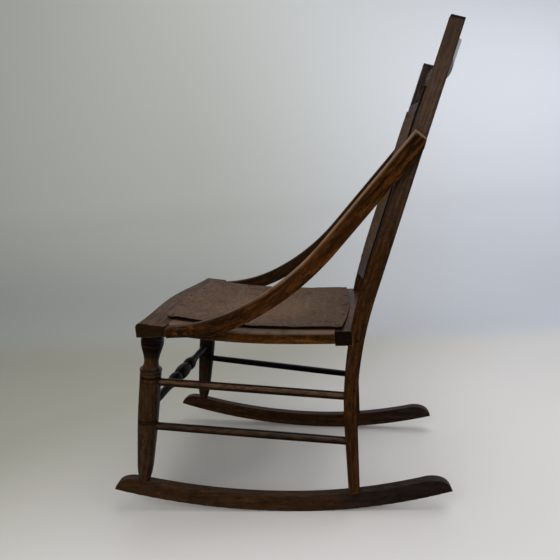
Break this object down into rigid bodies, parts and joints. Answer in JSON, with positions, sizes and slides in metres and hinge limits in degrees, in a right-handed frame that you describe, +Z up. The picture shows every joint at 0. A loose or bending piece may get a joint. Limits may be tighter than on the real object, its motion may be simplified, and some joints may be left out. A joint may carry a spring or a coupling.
{
  "type": "pressed back rocking chair",
  "caption": "Small armless wooden rocking chair with turned front legs, swept hip rails, a tacked seat sheet and a raked back between bent posts.",
  "frame": {"origin": "on the floor under the middle of the chair's overall box", "axes": "+Z up, the chair faces -Y, +X towards the sitter's left"},
  "size_m": [0.452, 0.75, 0.9228],
  "materials": {
    "stained_wood": "old dark brown stain and varnish, worn on the edges",
    "pressed_sheet": "matt pressed fibre sheet, dusty brown",
    "dark_iron": "dark oxidised iron",
    "screw_steel": "bare steel",
    "plug_wood": "dark end grain",
    "dowel_wood": "bare wood"
  },
  "bodies": {
    "root": {"back_panel": "pressed_sheet", "back_tacks": "dark_iron", "crest_rail": "stained_wood", "front_leg_left": "stained_wood", "front_leg_right": "stained_wood", "front_rung": "stained_wood", "hip_rail_left": "stained_wood", "hip_rail_plugs": "plug_wood", "hip_rail_right": "stained_wood", "hip_rail_screws": "screw_steel", "lower_back_rail": "stained_wood", "lower_rung_left": "stained_wood", "lower_rung_right": "stained_wood", "middle_back_rail": "stained_wood", "post_dowels": "dowel_wood", "post_nails": "dark_iron", "rear_post_left": "stained_wood", "rear_post_right": "stained_wood", "rear_rung": "stained_wood", "rocker_left": "stained_wood", "rocker_right": "stained_wood", "seat_dowels": "dowel_wood", "seat_front_rail": "stained_wood", "seat_panel": "pressed_sheet", "seat_rear_rail": "stained_wood", "seat_side_rail_left": "stained_wood", "seat_side_rail_right": "stained_wood", "seat_tacks": "dark_iron", "upper_rung_left": "stained_wood", "upper_rung_right": "stained_wood"}
  },
  "joints": []
}
